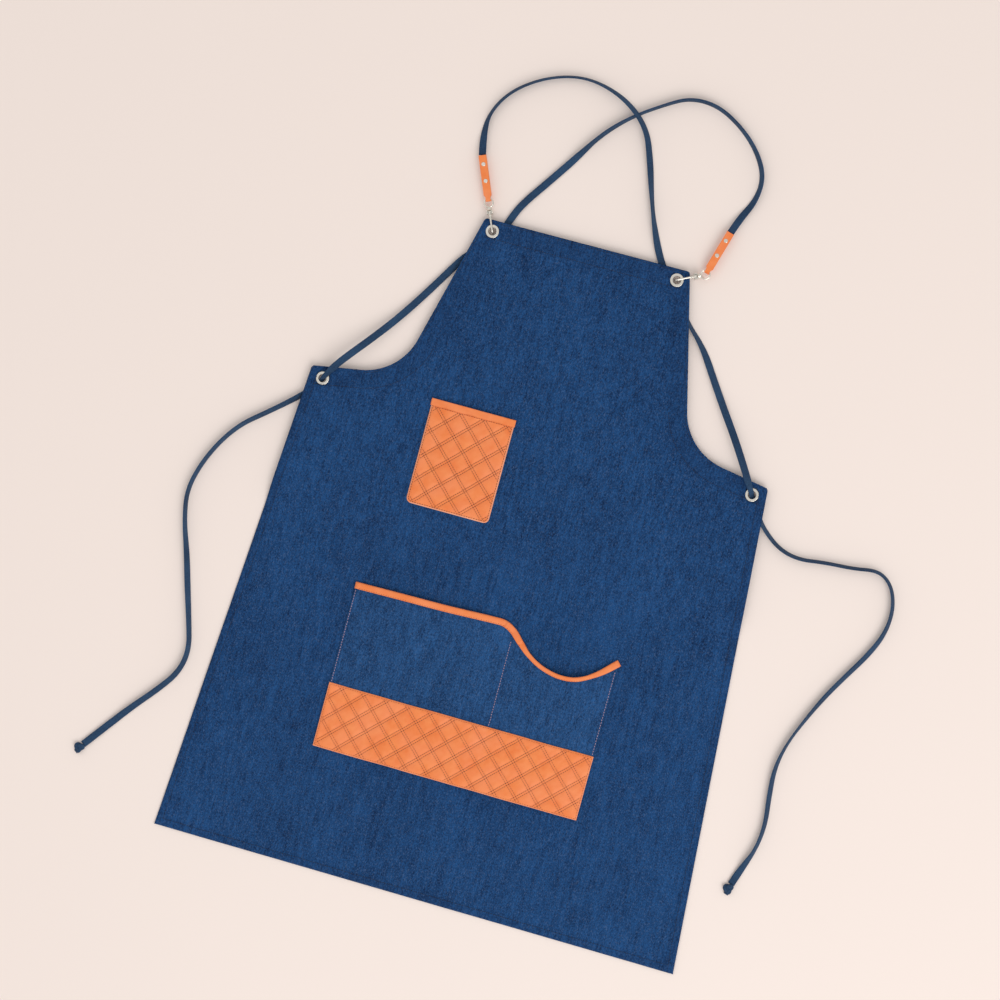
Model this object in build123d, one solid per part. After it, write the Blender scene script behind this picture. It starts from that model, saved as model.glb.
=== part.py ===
"""A denim work apron with leather pockets and two straps that clip on with swivel snap hooks.

The apron lies flat on its back. While it is being drawn, x runs across it from its centre line,
y runs up it from the hem, and z runs up from the surface. At the end everything moves so that
the origin is the bottom centre of the apron with its hooks and tabs. Sizes are in millimetres.
"""
from build123d import *
import math
import os

# Apron panel
HEM_HALF_WIDTH = 345.0
WAIST_HALF_WIDTH = 296.0
WAIST_HEIGHT = 622.0
BIB_HALF_WIDTH = 132.0
BIB_HEIGHT = 856.0
ARMHOLE_CORNER_HALF_WIDTH = 186.5  # where the bib's side line and the waist's top line would meet
ARMHOLE_CORNER_HEIGHT = 640.5
ARMHOLE_RADIUS = 75.0
OUTLINE_CORNER_RADIUS = 4.0
DENIM = 1.5
RAMP_START = 430.0  # the cloth rises here, over the straps and hooks that pass behind it
RAMP_LENGTH = 46.0
UPPER_LIFT = 7.0
FACING_WIDTH = 26.0
FACING = 1.0
FACING_DROP = 27.0  # how far the facing goes below the waist corner

# Eyelets
EYELET_INSET_SIDE = 13.0
EYELET_INSET_TOP = 14.0
WAIST_EYELET_INSET_SIDE = 17.0
WAIST_EYELET_INSET_TOP = 12.5
EYELET_HOLE_RADIUS = 5.3
EYELET_BARREL = 0.6
EYELET_FLANGE_RADIUS = 8.4
EYELET_FLANGE = 0.9
EYELET_ROUNDING = 0.54
WASHER = 0.8

# Chest pocket
LEATHER = 1.4
CHEST_LEFT, CHEST_BOTTOM = -137.0, 487.0
CHEST_WIDTH, CHEST_HEIGHT = 108.0, 135.0
CHEST_GAP = 5.0
CHEST_CORNER = 7.0
CHEST_BAND = 9.0
CHEST_BAND_OVERHANG = 0.8
SEAM = 2.0  # width of a sewn edge

# Lower pocket
POCKET_LEFT, POCKET_BOTTOM = -172.0, 155.0
POCKET_WIDTH = 348.0
POCKET_MOUTH_LEFT = 366.5  # height of the mouth's middle line at the left side
POCKET_MOUTH_STEP = 371.5  # and where the scoop begins
SCOOP_START = 24.0
SCOOP_DEPTH = 46.0
SCOOP_BOTTOM = 109.0
SCOOP_RIGHT_RISE = 38.0
SCOOP_STEEP_OFFSET = -5.0  # the steep part lies this far right of half way down
SCOOP_STEEP_SHARE = 0.62  # and has come down this much of the depth
POCKET_GAP = 6.0
DIVIDER_X = 38.0
BASE_BAND_HEIGHT = 84.0
BINDING_HEIGHT = 9.0
BINDING_FRONT, BINDING_BACK = 1.2, 1.0

# Snap hooks: lengths run from the eyelet's centre towards the tab
HOOK_WIRE_RADIUS = 1.2
HOOK_HALF_HEIGHT = 4.8
HOOK_BEND_BACK = 2.4
HOOK_BEND_FLAT = 0.2  # half the straight stretch at the back of the bend
HOOK_TIP = 17.0
GATE_GAP = 0.6
GATE_HEIGHT = 2.4
GATE_HALF_WIDTH = 1.3
GATE_HUB_RADIUS = 1.7
GATE_PIVOT = 24.0
GATE_PIVOT_HEIGHT = 4.2
GATE_ROUNDING = 0.5
KNOB_RADIUS = 1.1
KNOB_SETBACK = 2.2
KNOB_RISE = 0.4
SPRING_WIRE_RADIUS = 0.2
SPRING_CLEARANCE = 0.15
SPRING_PITCH = 0.5
PIN_RADIUS = 0.6
PIN_CLEARANCE = 0.08
BASE_START, BASE_END = 21.5, 27.0
BASE_HALF_WIDTH = 3.6
BASE_ROUNDING = 1.5
SLOT_HALF_WIDTH = 2.6
SLOT_FLOOR = 1.2
HUB_CLEARANCE = 0.4
COLLAR_RADIUS = 3.2
COLLAR_END = 29.1
COLLAR_WALL = 0.8
STEM_RADIUS = 1.0
STEM_HEAD_RADIUS = 1.7
STEM_HEAD = 1.2
SWIVEL_CLEARANCE = 0.15
RING_CENTRE = 36.0
RING_RADIUS = 5.4
RING_WIRE_RADIUS = 1.1
HOOK_ANGLE_LEFT, HOOK_ANGLE_RIGHT = -22.7, 64.0  # from straight up the apron, clockwise

# Leather tabs: lengths run from the ring's centre
TAB_ANGLE_LEFT, TAB_ANGLE_RIGHT = -22.7, 15.8
TAB_LENGTH = 59.4
TAB_WIDTH = 9.6
TAB_NECK_WIDTH = 6.2
TAB_NECK_CLEARANCE = 0.8
TAB_TAPER = 2.0
LOOP_CLEARANCE = 0.35
LOOP_SETBACK = 1.1
RIVET_PLACES = (27.0, 48.0)
RIVET_POST_RADIUS = 1.2
RIVET_HEAD_RADIUS = 2.6
RIVET_HEAD = 0.8
RIVET_ROUNDING = 0.6
FIT = 0.05

# Straps: flat webbing, drawn as a round tube of nearly the same section
STRAP_WIDTH = 9.0
STRAP_RADIUS = 2.0
STRAP_END_START = 14.0
STRAP_START_GAP = 0.4
KNOT_LENGTH, KNOT_WIDTH, KNOT_HEIGHT = 15.0, 12.0, 7.0
KNOT_ROUNDING = 2.4
ARC_SHARE = 0.45  # of the shorter run beside it, taken up by each arc
REST = 2.2  # height of a strap's middle line where it lies on the surface

# The left tab's strap: over the crossing, behind the bib, through the right waist eyelet
STRAP_LEFT_ROUTE = [
    (-162, 955, 4.4), (-161, 984, REST), (-144, 1014, REST), (-113, 1038, REST),
    (-75, 1053, REST), (-38, 1054, 4.0), (3, 1039, 10.0), (34, 1012, 10.0),
    (48, 976, 4.0), (60, 938, REST), (74, 900, REST), (91, 863, REST),
    (117, 827, REST), (145, 796, REST), (173, 769, REST), (195, 736, 3.0),
    (216, 705, 6.5), (238, 674, 12.0), (255, 648, 15.0), (265, 632, 15.2),
    (276.8, 612.9, 14.6), (280.4, 607.2, REST), (291, 589, REST), (307, 570, REST),
    (330, 553, REST), (356, 547, REST), (388, 552, REST), (424, 554, REST),
    (455, 560, REST), (475, 546, REST), (485, 518, REST), (483, 486, REST),
    (470, 455, REST), (451, 423, REST), (433, 391, REST), (418, 358, REST),
    (404, 323, REST), (397, 288, REST), (400, 251, REST), (405, 216, REST),
    (402, 183, REST), (391, 153, REST), (384, 131, REST),
]
# The right tab's strap: under the crossing, behind the bib, through the left waist eyelet
STRAP_RIGHT_ROUTE = [
    (174, 935, 4.4), (187, 961, REST), (189, 991, REST), (173, 1019, REST),
    (147, 1043, REST), (112, 1062, REST), (76, 1063, REST), (46, 1046, REST),
    (11, 1022, REST), (-18, 993, REST), (-41, 958, REST), (-67, 920, REST),
    (-92, 885, REST), (-102, 862, REST), (-108, 842, REST), (-124, 822, REST),
    (-145, 804, REST), (-162, 776, REST), (-183, 742, 3.0), (-206, 707, 6.0),
    (-230, 675, 11.5), (-252, 648, 15.0), (-266, 630, 15.2), (-276.8, 612.9, 14.6),
    (-280.4, 607.2, REST), (-292, 590, REST), (-312, 571, REST), (-339, 548, REST),
    (-366, 526, REST), (-387, 497, REST), (-403, 463, REST), (-412, 426, REST),
    (-405, 388, REST), (-392, 350, REST), (-380, 308, REST), (-367, 266, REST),
    (-357, 230, REST), (-363, 198, REST), (-385, 168, REST), (-411, 138, REST),
    (-435, 107, REST), (-455, 79, REST),
]

PANEL_TOP = UPPER_LIFT + DENIM
CLOTH_LOW = UPPER_LIFT - FACING  # underside of the facing at the eyelets
HOOK_LEVEL = (PANEL_TOP + EYELET_FLANGE + CLOTH_LOW - WASHER) / 2
LEATHER_LOOP = RING_WIRE_RADIUS + LOOP_CLEARANCE  # half the gap between a tab's two layers
BIG = 2000.0
nodes = {}


def prism(face, low, high):
    """The face, drawn at z = 0, made solid between two heights."""
    return Part() + [extrude(Pos(0, 0, low) * one, high - low, dir=(0, 0, 1)) for one in face.faces()]


def block(x0, x1, y0, y1, z0, z1):
    return Pos((x0 + x1) / 2, (y0 + y1) / 2, (z0 + z1) / 2) * Box(x1 - x0, y1 - y0, z1 - z0)


def rod(radius, start, end):
    """A cylinder along x."""
    return Pos((start + end) / 2, 0, 0) * Rot(0, 90, 0) * Cylinder(radius, end - start)


# Cloth


def outline_face():
    right = [
        (HEM_HALF_WIDTH, 0),
        (WAIST_HALF_WIDTH, WAIST_HEIGHT),
        (ARMHOLE_CORNER_HALF_WIDTH, ARMHOLE_CORNER_HEIGHT),
        (BIB_HALF_WIDTH, BIB_HEIGHT),
    ]
    left = [(-x, y) for x, y in reversed(right)]
    face = make_face(Polyline(*right, *left, close=True))
    armholes = [v for v in face.vertices() if abs(abs(v.X) - ARMHOLE_CORNER_HALF_WIDTH) < 1e-3]
    face = fillet(armholes, ARMHOLE_RADIUS)
    corners = [v for v in face.vertices() if abs(v.Y - BIB_HEIGHT) < 1e-3 or abs(v.Y) < 1e-3
               or abs(abs(v.X) - WAIST_HALF_WIDTH) < 1e-3]
    return fillet(corners, OUTLINE_CORNER_RADIUS)


def cloth_layer(drop, thickness):
    """A layer that follows the panel's side view, its top side drop below the panel's underside."""
    low = [(-50, 0), (RAMP_START, 0), (RAMP_START + RAMP_LENGTH, UPPER_LIFT), (BIG, UPPER_LIFT)]
    bottom = [(0, y, z - drop - thickness) for y, z in low]
    top = [(0, y, z - drop) for y, z in reversed(low)]
    side = make_face(Polyline(*bottom, *top, close=True))
    return extrude(side, HEM_HALF_WIDTH + 50, dir=(1, 0, 0), both=True)


def eyelet_centres():
    bib = (BIB_HALF_WIDTH - EYELET_INSET_SIDE, BIB_HEIGHT - EYELET_INSET_TOP)
    waist = (WAIST_HALF_WIDTH - WAIST_EYELET_INSET_SIDE, WAIST_HEIGHT - WAIST_EYELET_INSET_TOP)
    return {
        "bib_left": (-bib[0], bib[1]), "bib_right": bib,
        "waist_left": (-waist[0], waist[1]), "waist_right": waist,
    }


def make_cloth():
    outline = outline_face()
    holes = Sketch() + [Pos(x, y) * Circle(EYELET_HOLE_RADIUS + EYELET_BARREL)
                        for x, y in eyelet_centres().values()]
    cut = outline - holes
    nodes["apron_panel"] = cloth_layer(-DENIM, DENIM) & prism(cut, -5, 50)
    edge = outline - offset(outline, -FACING_WIDTH, kind=Kind.INTERSECTION) - holes
    layer = cloth_layer(0, FACING)
    top_low = BIB_HEIGHT - FACING_WIDTH
    low = WAIST_HEIGHT - FACING_DROP
    edge_solid = prism(edge, -5, 50) & layer
    nodes["top_facing"] = edge_solid & block(-BIG, BIG, top_low, BIG, -5, 50)
    nodes["armhole_facing_left"] = edge_solid & block(-BIG, 0, low, top_low, -5, 50)
    nodes["armhole_facing_right"] = edge_solid & block(0, BIG, low, top_low, -5, 50)


def make_eyelets():
    outer = EYELET_HOLE_RADIUS + EYELET_BARREL
    low = CLOTH_LOW - WASHER
    for name, (x, y) in eyelet_centres().items():
        flange = prism(Circle(EYELET_FLANGE_RADIUS), PANEL_TOP, PANEL_TOP + EYELET_FLANGE)
        flange = fillet(flange.edges().group_by(Axis.Z)[-1], EYELET_ROUNDING)
        barrel = prism(Circle(outer - FIT), low, PANEL_TOP + FIT)
        hole = prism(Circle(EYELET_HOLE_RADIUS), low - 1, PANEL_TOP + 5)
        nodes["eyelet_" + name] = Pos(x, y, 0) * (flange + barrel - hole)
        ring = prism(Circle(EYELET_FLANGE_RADIUS) - Circle(outer), low, CLOTH_LOW)
        nodes["eyelet_washer_" + name] = Pos(x, y, 0) * ring


# Pockets


def make_chest_pocket():
    right, top = CHEST_LEFT + CHEST_WIDTH, CHEST_BOTTOM + CHEST_HEIGHT
    inner = PANEL_TOP + CHEST_GAP
    outer = inner + LEATHER
    tray = block(CHEST_LEFT, right, CHEST_BOTTOM, top, PANEL_TOP, outer)
    upright = tray.edges().filter_by(Axis.Z).group_by(Axis.Y)[0]
    tray = fillet(upright, CHEST_CORNER)
    low = CHEST_BOTTOM + SEAM
    space = block(CHEST_LEFT + SEAM, right - SEAM, low, top + 5, PANEL_TOP - 1, inner)
    space = fillet(space.edges().filter_by(Axis.Z).group_by(Axis.Y)[0], CHEST_CORNER - SEAM)
    nodes["chest_pocket_panel"] = tray - space
    nodes["chest_pocket_band"] = block(
        CHEST_LEFT - CHEST_BAND_OVERHANG, right + CHEST_BAND_OVERHANG,
        top - CHEST_BAND, top, outer, outer + LEATHER)


def mouth_line():
    """The middle line of the lower pocket's mouth binding: level, then a scoop."""
    right = POCKET_LEFT + POCKET_WIDTH
    low = POCKET_MOUTH_STEP - SCOOP_DEPTH
    level = Line((POCKET_LEFT, POCKET_MOUTH_LEFT), (SCOOP_START, POCKET_MOUTH_STEP))
    steep_x = (SCOOP_START + SCOOP_BOTTOM) / 2 + SCOOP_STEEP_OFFSET
    steep = (steep_x, POCKET_MOUTH_STEP - SCOOP_DEPTH * SCOOP_STEEP_SHARE)
    scoop = Spline(
        (SCOOP_START, POCKET_MOUTH_STEP), steep, (SCOOP_BOTTOM, low), (right, low + SCOOP_RIGHT_RISE),
        tangents=[level % 1, (1, 1)])
    return level, scoop


def make_lower_pocket():
    right = POCKET_LEFT + POCKET_WIDTH
    level, scoop = mouth_line()
    start, end = level @ 0, scoop @ 1
    rest = Polyline(end, (right, POCKET_BOTTOM), (POCKET_LEFT, POCKET_BOTTOM), start)
    face = make_face([level.edge(), scoop.edge()] + rest.edges())
    inner = DENIM + POCKET_GAP
    outer = inner + DENIM
    tray = prism(face, DENIM, outer)
    walls = [(POCKET_LEFT, POCKET_LEFT + SEAM), (DIVIDER_X - SEAM / 2, DIVIDER_X + SEAM / 2),
             (right - SEAM, right)]
    for (_, x0), (x1, _) in zip(walls, walls[1:]):
        tray -= block(x0, x1, POCKET_BOTTOM + SEAM, BIG, DENIM - 1, inner)
    low, high = inner - BINDING_BACK, outer + BINDING_FRONT
    path = Wire([level.edge(), scoop.edge()])
    path = Pos(0, 0, (low + high) / 2) * path
    section = Plane(origin=path @ 0, x_dir=(0, 0, 1), z_dir=path % 0)
    binding = sweep(section * Rectangle(high - low, BINDING_HEIGHT), path=path)
    binding = binding & block(POCKET_LEFT, right, 0, BIG, 0, BIG)
    nodes["lower_pocket_panel"] = tray
    nodes["lower_pocket_binding"] = binding - tray
    nodes["lower_pocket_base_band"] = block(
        POCKET_LEFT, right, POCKET_BOTTOM, POCKET_BOTTOM + BASE_BAND_HEIGHT, outer, outer + LEATHER)


# Snap hooks and tabs


def place(origin, angle):
    """Where a local frame sits: local x points away at the angle, local z is up."""
    turn = math.radians(angle)
    return Plane(origin=(*origin, HOOK_LEVEL), x_dir=(math.sin(turn), math.cos(turn), 0),
                 z_dir=(0, 0, 1)).location


def on_pivot(shape, sideways=0.0):
    """A shape whose axis becomes the gate pin's axis."""
    return Pos(GATE_PIVOT, sideways, GATE_PIVOT_HEIGHT) * Rot(90, 0, 0) * shape


def hook_body():
    high = HOOK_HALF_HEIGHT
    path = FilletPolyline(
        (HOOK_TIP, 0, high), (-HOOK_BEND_BACK, 0, high), (-HOOK_BEND_BACK, 0, -high),
        (BASE_START + 1, 0, -high), radius=high - HOOK_BEND_FLAT)
    wire = sweep(Plane(origin=path @ 0, z_dir=path % 0) * Circle(HOOK_WIRE_RADIUS), path=path)
    wall = high + HOOK_WIRE_RADIUS
    base = block(BASE_START, BASE_END, -BASE_HALF_WIDTH, BASE_HALF_WIDTH, -wall, wall)
    base = fillet(base.edges().filter_by(Axis.Y), BASE_ROUNDING)
    base = base + rod(COLLAR_RADIUS, BASE_END - 1, COLLAR_END)
    slot_end = GATE_PIVOT + GATE_HUB_RADIUS + HUB_CLEARANCE
    base -= block(BASE_START - 1, slot_end, -SLOT_HALF_WIDTH, SLOT_HALF_WIDTH, SLOT_FLOOR, wall + 1)
    head_end = COLLAR_END - COLLAR_WALL
    head_start = head_end - STEM_HEAD - 2 * SWIVEL_CLEARANCE
    base -= rod(STEM_HEAD_RADIUS + SWIVEL_CLEARANCE, head_start, head_end)
    base -= rod(STEM_RADIUS + SWIVEL_CLEARANCE, head_start, COLLAR_END + 1)
    return wire + base - on_pivot(Cylinder(PIN_RADIUS, BIG))


def gate_lever():
    start = HOOK_TIP + GATE_GAP
    low = HOOK_HALF_HEIGHT - GATE_HEIGHT / 2
    bar = block(start, GATE_PIVOT, -GATE_HALF_WIDTH, GATE_HALF_WIDTH, low, low + GATE_HEIGHT)
    bar = fillet(bar.edges().filter_by(Axis.X), GATE_ROUNDING)
    hub = on_pivot(Cylinder(GATE_HUB_RADIUS, 2 * GATE_HALF_WIDTH))
    knob = Pos(start + KNOB_SETBACK, 0, low + GATE_HEIGHT + KNOB_RISE) * Sphere(KNOB_RADIUS)
    return bar + hub + knob - on_pivot(Cylinder(PIN_RADIUS + PIN_CLEARANCE, BIG))


def gate_pin():
    return on_pivot(Cylinder(PIN_RADIUS, 2 * BASE_HALF_WIDTH))


def gate_spring():
    """Two turns of the gate's torsion spring, on the pin beside the lever."""
    turn = Torus(PIN_RADIUS + PIN_CLEARANCE + SPRING_CLEARANCE + SPRING_WIRE_RADIUS, SPRING_WIRE_RADIUS)
    first = GATE_HALF_WIDTH + SPRING_CLEARANCE + SPRING_WIRE_RADIUS
    return [on_pivot(turn, first + step) for step in (0, SPRING_PITCH)]


def swivel_eye():
    head_end = COLLAR_END - COLLAR_WALL - SWIVEL_CLEARANCE
    stem = rod(STEM_RADIUS, head_end - STEM_HEAD, RING_CENTRE - RING_RADIUS)
    head = rod(STEM_HEAD_RADIUS, head_end - STEM_HEAD, head_end)
    return Pos(RING_CENTRE, 0, 0) * Torus(RING_RADIUS, RING_WIRE_RADIUS) + stem + head


def rivet_holes():
    return [Pos(x, 0, 0) * Cylinder(RIVET_POST_RADIUS + FIT, 20) for x in RIVET_PLACES]


def leather_tab():
    inner = LEATHER_LOOP
    outer = inner + LEATHER
    fold = RING_RADIUS - LOOP_SETBACK
    length = TAB_LENGTH - fold
    loop = Pos(fold, 0, 0) * Rot(90, 0, 0) * (Cylinder(outer, TAB_WIDTH) - Cylinder(inner, BIG))
    loop = loop & block(-BIG, fold, -BIG, BIG, -BIG, BIG)
    layers = block(fold, fold + length, -TAB_WIDTH / 2, TAB_WIDTH / 2, -outer, outer)
    layers -= block(fold - 1, BIG, -BIG, BIG, -inner, inner)
    neck_end = RING_RADIUS + RING_WIRE_RADIUS + TAB_NECK_CLEARANCE
    neck, wide = TAB_NECK_WIDTH / 2, TAB_WIDTH / 2
    half = [(0, neck), (neck_end, neck), (neck_end + TAB_TAPER, wide), (BIG, wide)]
    plan = make_face(Polyline(*half, *[(x, -y) for x, y in reversed(half)], close=True))
    tab = (loop + layers) & prism(plan, -10, 10)
    for hole in rivet_holes():
        tab -= hole
    return tab


def strap_end():
    """The webbing's flat end, doubled between the tab's two layers."""
    half = LEATHER_LOOP - FIT
    flat = block(STRAP_END_START, TAB_LENGTH, -STRAP_WIDTH / 2, STRAP_WIDTH / 2, -half, half)
    for hole in rivet_holes():
        flat -= hole
    return flat


def rivet_posts():
    outer = LEATHER_LOOP + LEATHER
    posts = []
    for x in RIVET_PLACES:
        post = Cylinder(RIVET_POST_RADIUS, 2 * outer)
        back = Pos(0, 0, -outer - RIVET_HEAD / 2) * Cylinder(RIVET_HEAD_RADIUS, RIVET_HEAD)
        posts.append(Pos(x, 0, 0) * (post + back))
    return posts


def rivet_caps():
    outer = LEATHER_LOOP + LEATHER
    cap = Cylinder(RIVET_HEAD_RADIUS, RIVET_HEAD)
    cap = fillet(cap.edges().group_by(Axis.Z)[-1], RIVET_ROUNDING)
    return [Pos(x, 0, outer + RIVET_HEAD / 2) * cap for x in RIVET_PLACES]


def strap_route(ring, tab_angle, rest):
    turn = math.radians(tab_angle)
    reach = TAB_LENGTH + STRAP_START_GAP
    start = (ring[0] + reach * math.sin(turn), ring[1] + reach * math.cos(turn), HOOK_LEVEL)
    return [Vector(*point) for point in [start] + rest]


def strap(name, points):
    """A tube of straight runs joined by arcs, and its knot."""
    radii = []
    for before, here, after in zip(points, points[1:], points[2:]):
        half_turn = math.radians((here - before).get_angle(after - here)) / 2
        shorter = min((here - before).length, (after - here).length)
        radii.append(ARC_SHARE * shorter / math.tan(half_turn))
    path = FilletPolyline(*points, radius=radii)
    tube = sweep(Plane(origin=path @ 0, z_dir=path % 0) * Circle(STRAP_RADIUS), path=path)
    expected = math.pi * STRAP_RADIUS ** 2 * path.length
    print(name, "length", round(path.length), "volume ratio", round(tube.volume / expected, 4))
    print("  radii", [round(radius) for radius in radii])
    print("  runs", [round((b - a).length) for a, b in zip(points, points[1:])])
    nodes["strap_" + name] = tube
    end, heading = points[-1], points[-1] - points[-2]
    knot = block(0, KNOT_LENGTH, -KNOT_WIDTH / 2, KNOT_WIDTH / 2, 0, KNOT_HEIGHT)
    knot = fillet(knot.edges(), KNOT_ROUNDING)
    turn = math.degrees(math.atan2(heading.Y, heading.X))
    nodes["strap_knot_" + name] = Pos(end.X, end.Y, 0) * Rot(0, 0, turn) * knot


def make_side(side, hook_angle, tab_angle, route):
    eyelet = eyelet_centres()["bib_" + side]
    turn = math.radians(hook_angle)
    ring = (eyelet[0] + RING_CENTRE * math.sin(turn), eyelet[1] + RING_CENTRE * math.cos(turn))
    at_hook, at_tab = place(eyelet, hook_angle), place(ring, tab_angle)
    pieces = {"hook_body": hook_body(), "gate_lever": gate_lever(), "gate_pin": gate_pin(),
              "gate_spring": gate_spring(), "swivel_eye": swivel_eye()}
    for name, shape in pieces.items():
        nodes[name + "_" + side] = placed(at_hook, shape)
    pieces = {"leather_tab": leather_tab(), "strap_end": strap_end(),
              "rivet_posts": rivet_posts(), "rivet_caps": rivet_caps()}
    for name, shape in pieces.items():
        nodes[name + "_" + side] = placed(at_tab, shape)
    strap(side, strap_route(ring, tab_angle, route))
    return ring


def placed(location, shape):
    """One shape, or a list of separate solids as a group, at its place."""
    if isinstance(shape, list):
        return Compound(children=[location * one for one in shape])
    return location * shape


make_cloth()
make_eyelets()
make_chest_pocket()
make_lower_pocket()
rings = {
    "left": make_side("left", HOOK_ANGLE_LEFT, TAB_ANGLE_LEFT, STRAP_LEFT_ROUTE),
    "right": make_side("right", HOOK_ANGLE_RIGHT, TAB_ANGLE_RIGHT, STRAP_RIGHT_ROUTE),
}

# The origin is the bottom centre of everything but the straps and their knots.
on_cords = ("strap_left", "strap_right", "strap_knot")
boxes = [shape.bounding_box() for name, shape in nodes.items() if not name.startswith(on_cords)]
middle_x = (min(box.min.X for box in boxes) + max(box.max.X for box in boxes)) / 2
middle_y = (min(box.min.Y for box in boxes) + max(box.max.Y for box in boxes)) / 2
bottom = min(box.min.Z for box in boxes)
print("origin is at", round(middle_x, 3), round(middle_y, 3), round(bottom, 3), "from the hem's middle")
print("hook level", HOOK_LEVEL, "rings", rings, "eyelets", eyelet_centres())

os.makedirs("parts", exist_ok=True)
for name, shape in nodes.items():
    export_step(Pos(-middle_x, -middle_y, -bottom) * shape, "parts/" + name + ".step")
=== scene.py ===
"""The looks of a denim apron with leather pockets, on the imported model's frame. Metres, +Y up the apron."""
import math
import random

import bpy
from mathutils import Matrix, Vector, noise


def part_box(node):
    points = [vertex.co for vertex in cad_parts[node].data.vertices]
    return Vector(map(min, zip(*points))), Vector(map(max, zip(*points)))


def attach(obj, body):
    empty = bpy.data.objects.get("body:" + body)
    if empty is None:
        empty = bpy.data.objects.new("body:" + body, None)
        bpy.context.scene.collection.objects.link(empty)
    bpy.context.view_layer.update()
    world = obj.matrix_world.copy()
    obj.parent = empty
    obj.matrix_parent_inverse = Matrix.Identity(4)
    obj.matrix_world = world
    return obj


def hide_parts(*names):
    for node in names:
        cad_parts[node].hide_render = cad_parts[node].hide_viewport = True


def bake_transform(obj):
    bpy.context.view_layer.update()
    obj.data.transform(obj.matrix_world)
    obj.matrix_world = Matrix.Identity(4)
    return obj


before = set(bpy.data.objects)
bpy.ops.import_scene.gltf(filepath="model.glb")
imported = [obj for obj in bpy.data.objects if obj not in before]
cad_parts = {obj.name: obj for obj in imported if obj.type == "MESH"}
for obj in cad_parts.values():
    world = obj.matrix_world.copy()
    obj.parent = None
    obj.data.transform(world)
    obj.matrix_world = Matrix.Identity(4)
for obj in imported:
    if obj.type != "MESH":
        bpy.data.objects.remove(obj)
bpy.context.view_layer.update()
MM = 0.001
HEM_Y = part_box("apron_panel")[0][1]
LEVEL = (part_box("swivel_eye_left")[0][2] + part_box("swivel_eye_left")[1][2]) / 2 / MM
random.seed(7)


def at(x, y, z=0.0):
    """A place in metres from millimetres off the hem's middle."""
    return Vector((x * MM, y * MM + HEM_Y, z * MM))


def smooth(low, high, value):
    t = min(1.0, max(0.0, (value - low) / (high - low)))
    return t * t * (3 - 2 * t)


# Camera

CAMERA_TILT = (2.32, -4.95, -15.13)
CAMERA_TARGET = (-22.8, 519.9)
CAMERA_DISTANCE = 2518.7
CAMERA_FOCAL = 72.0


def make_camera():
    turn = [Matrix.Rotation(math.radians(a), 3, axis) for a, axis in zip(CAMERA_TILT, "XYZ")]
    look = (turn[0] @ turn[1] @ turn[2]).transposed()
    data = bpy.data.cameras.new("camera")
    data.lens = CAMERA_FOCAL
    data.sensor_width = 36.0
    camera = bpy.data.objects.new("camera", data)
    bpy.context.collection.objects.link(camera)
    place = at(*CAMERA_TARGET) + look.col[2] * CAMERA_DISTANCE * MM
    camera.matrix_world = Matrix.Translation(place) @ look.to_4x4()
    bpy.context.scene.camera = camera


make_camera()

# Strap routes in millimetres off the hem's middle: the design's own points, but for the right one's last

REST = 2.2
STRAP_LEFT_ROUTE = [
    (-162, 955, 4.4), (-161, 984, REST), (-144, 1014, REST), (-113, 1038, REST),
    (-75, 1053, REST), (-38, 1054, 4.0), (3, 1039, 10.0), (34, 1012, 10.0),
    (48, 976, 4.0), (60, 938, REST), (74, 900, REST), (91, 863, REST),
    (117, 827, REST), (145, 796, REST), (173, 769, REST), (195, 736, 3.0),
    (216, 705, 6.5), (238, 674, 12.0), (255, 648, 15.0), (265, 632, 15.2),
    (276.8, 612.9, 14.6), (280.4, 607.2, REST), (291, 589, REST), (307, 570, REST),
    (330, 553, REST), (356, 547, REST), (388, 552, REST), (424, 554, REST),
    (455, 560, REST), (475, 546, REST), (485, 518, REST), (483, 486, REST),
    (470, 455, REST), (451, 423, REST), (433, 391, REST), (418, 358, REST),
    (404, 323, REST), (397, 288, REST), (400, 251, REST), (405, 216, REST),
    (402, 183, REST), (391, 153, REST), (384, 131, REST),
]
STRAP_RIGHT_ROUTE = [
    (174, 935, 4.4), (187, 961, REST), (189, 991, REST), (173, 1019, REST),
    (147, 1043, REST), (112, 1062, REST), (76, 1063, REST), (46, 1046, REST),
    (11, 1022, REST), (-18, 993, REST), (-41, 958, REST), (-67, 920, REST),
    (-92, 885, REST), (-102, 862, REST), (-108, 842, REST), (-124, 822, REST),
    (-145, 804, REST), (-162, 776, REST), (-183, 742, 3.0), (-206, 707, 6.0),
    (-230, 675, 11.5), (-252, 648, 15.0), (-266, 630, 15.2), (-276.8, 612.9, 14.6),
    (-280.4, 607.2, REST), (-292, 590, REST), (-312, 571, REST), (-339, 548, REST),
    (-366, 526, REST), (-387, 497, REST), (-403, 463, REST), (-412, 426, REST),
    (-405, 388, REST), (-392, 350, REST), (-380, 308, REST), (-367, 266, REST),
    (-357, 230, REST), (-363, 198, REST), (-385, 168, REST), (-411, 138, REST),
    (-435, 107, REST), (-460, 74, REST),
]
TAB_ENDS = {"left": (-155.9, 930.4), "right": (167.6, 915.3)}
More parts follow.
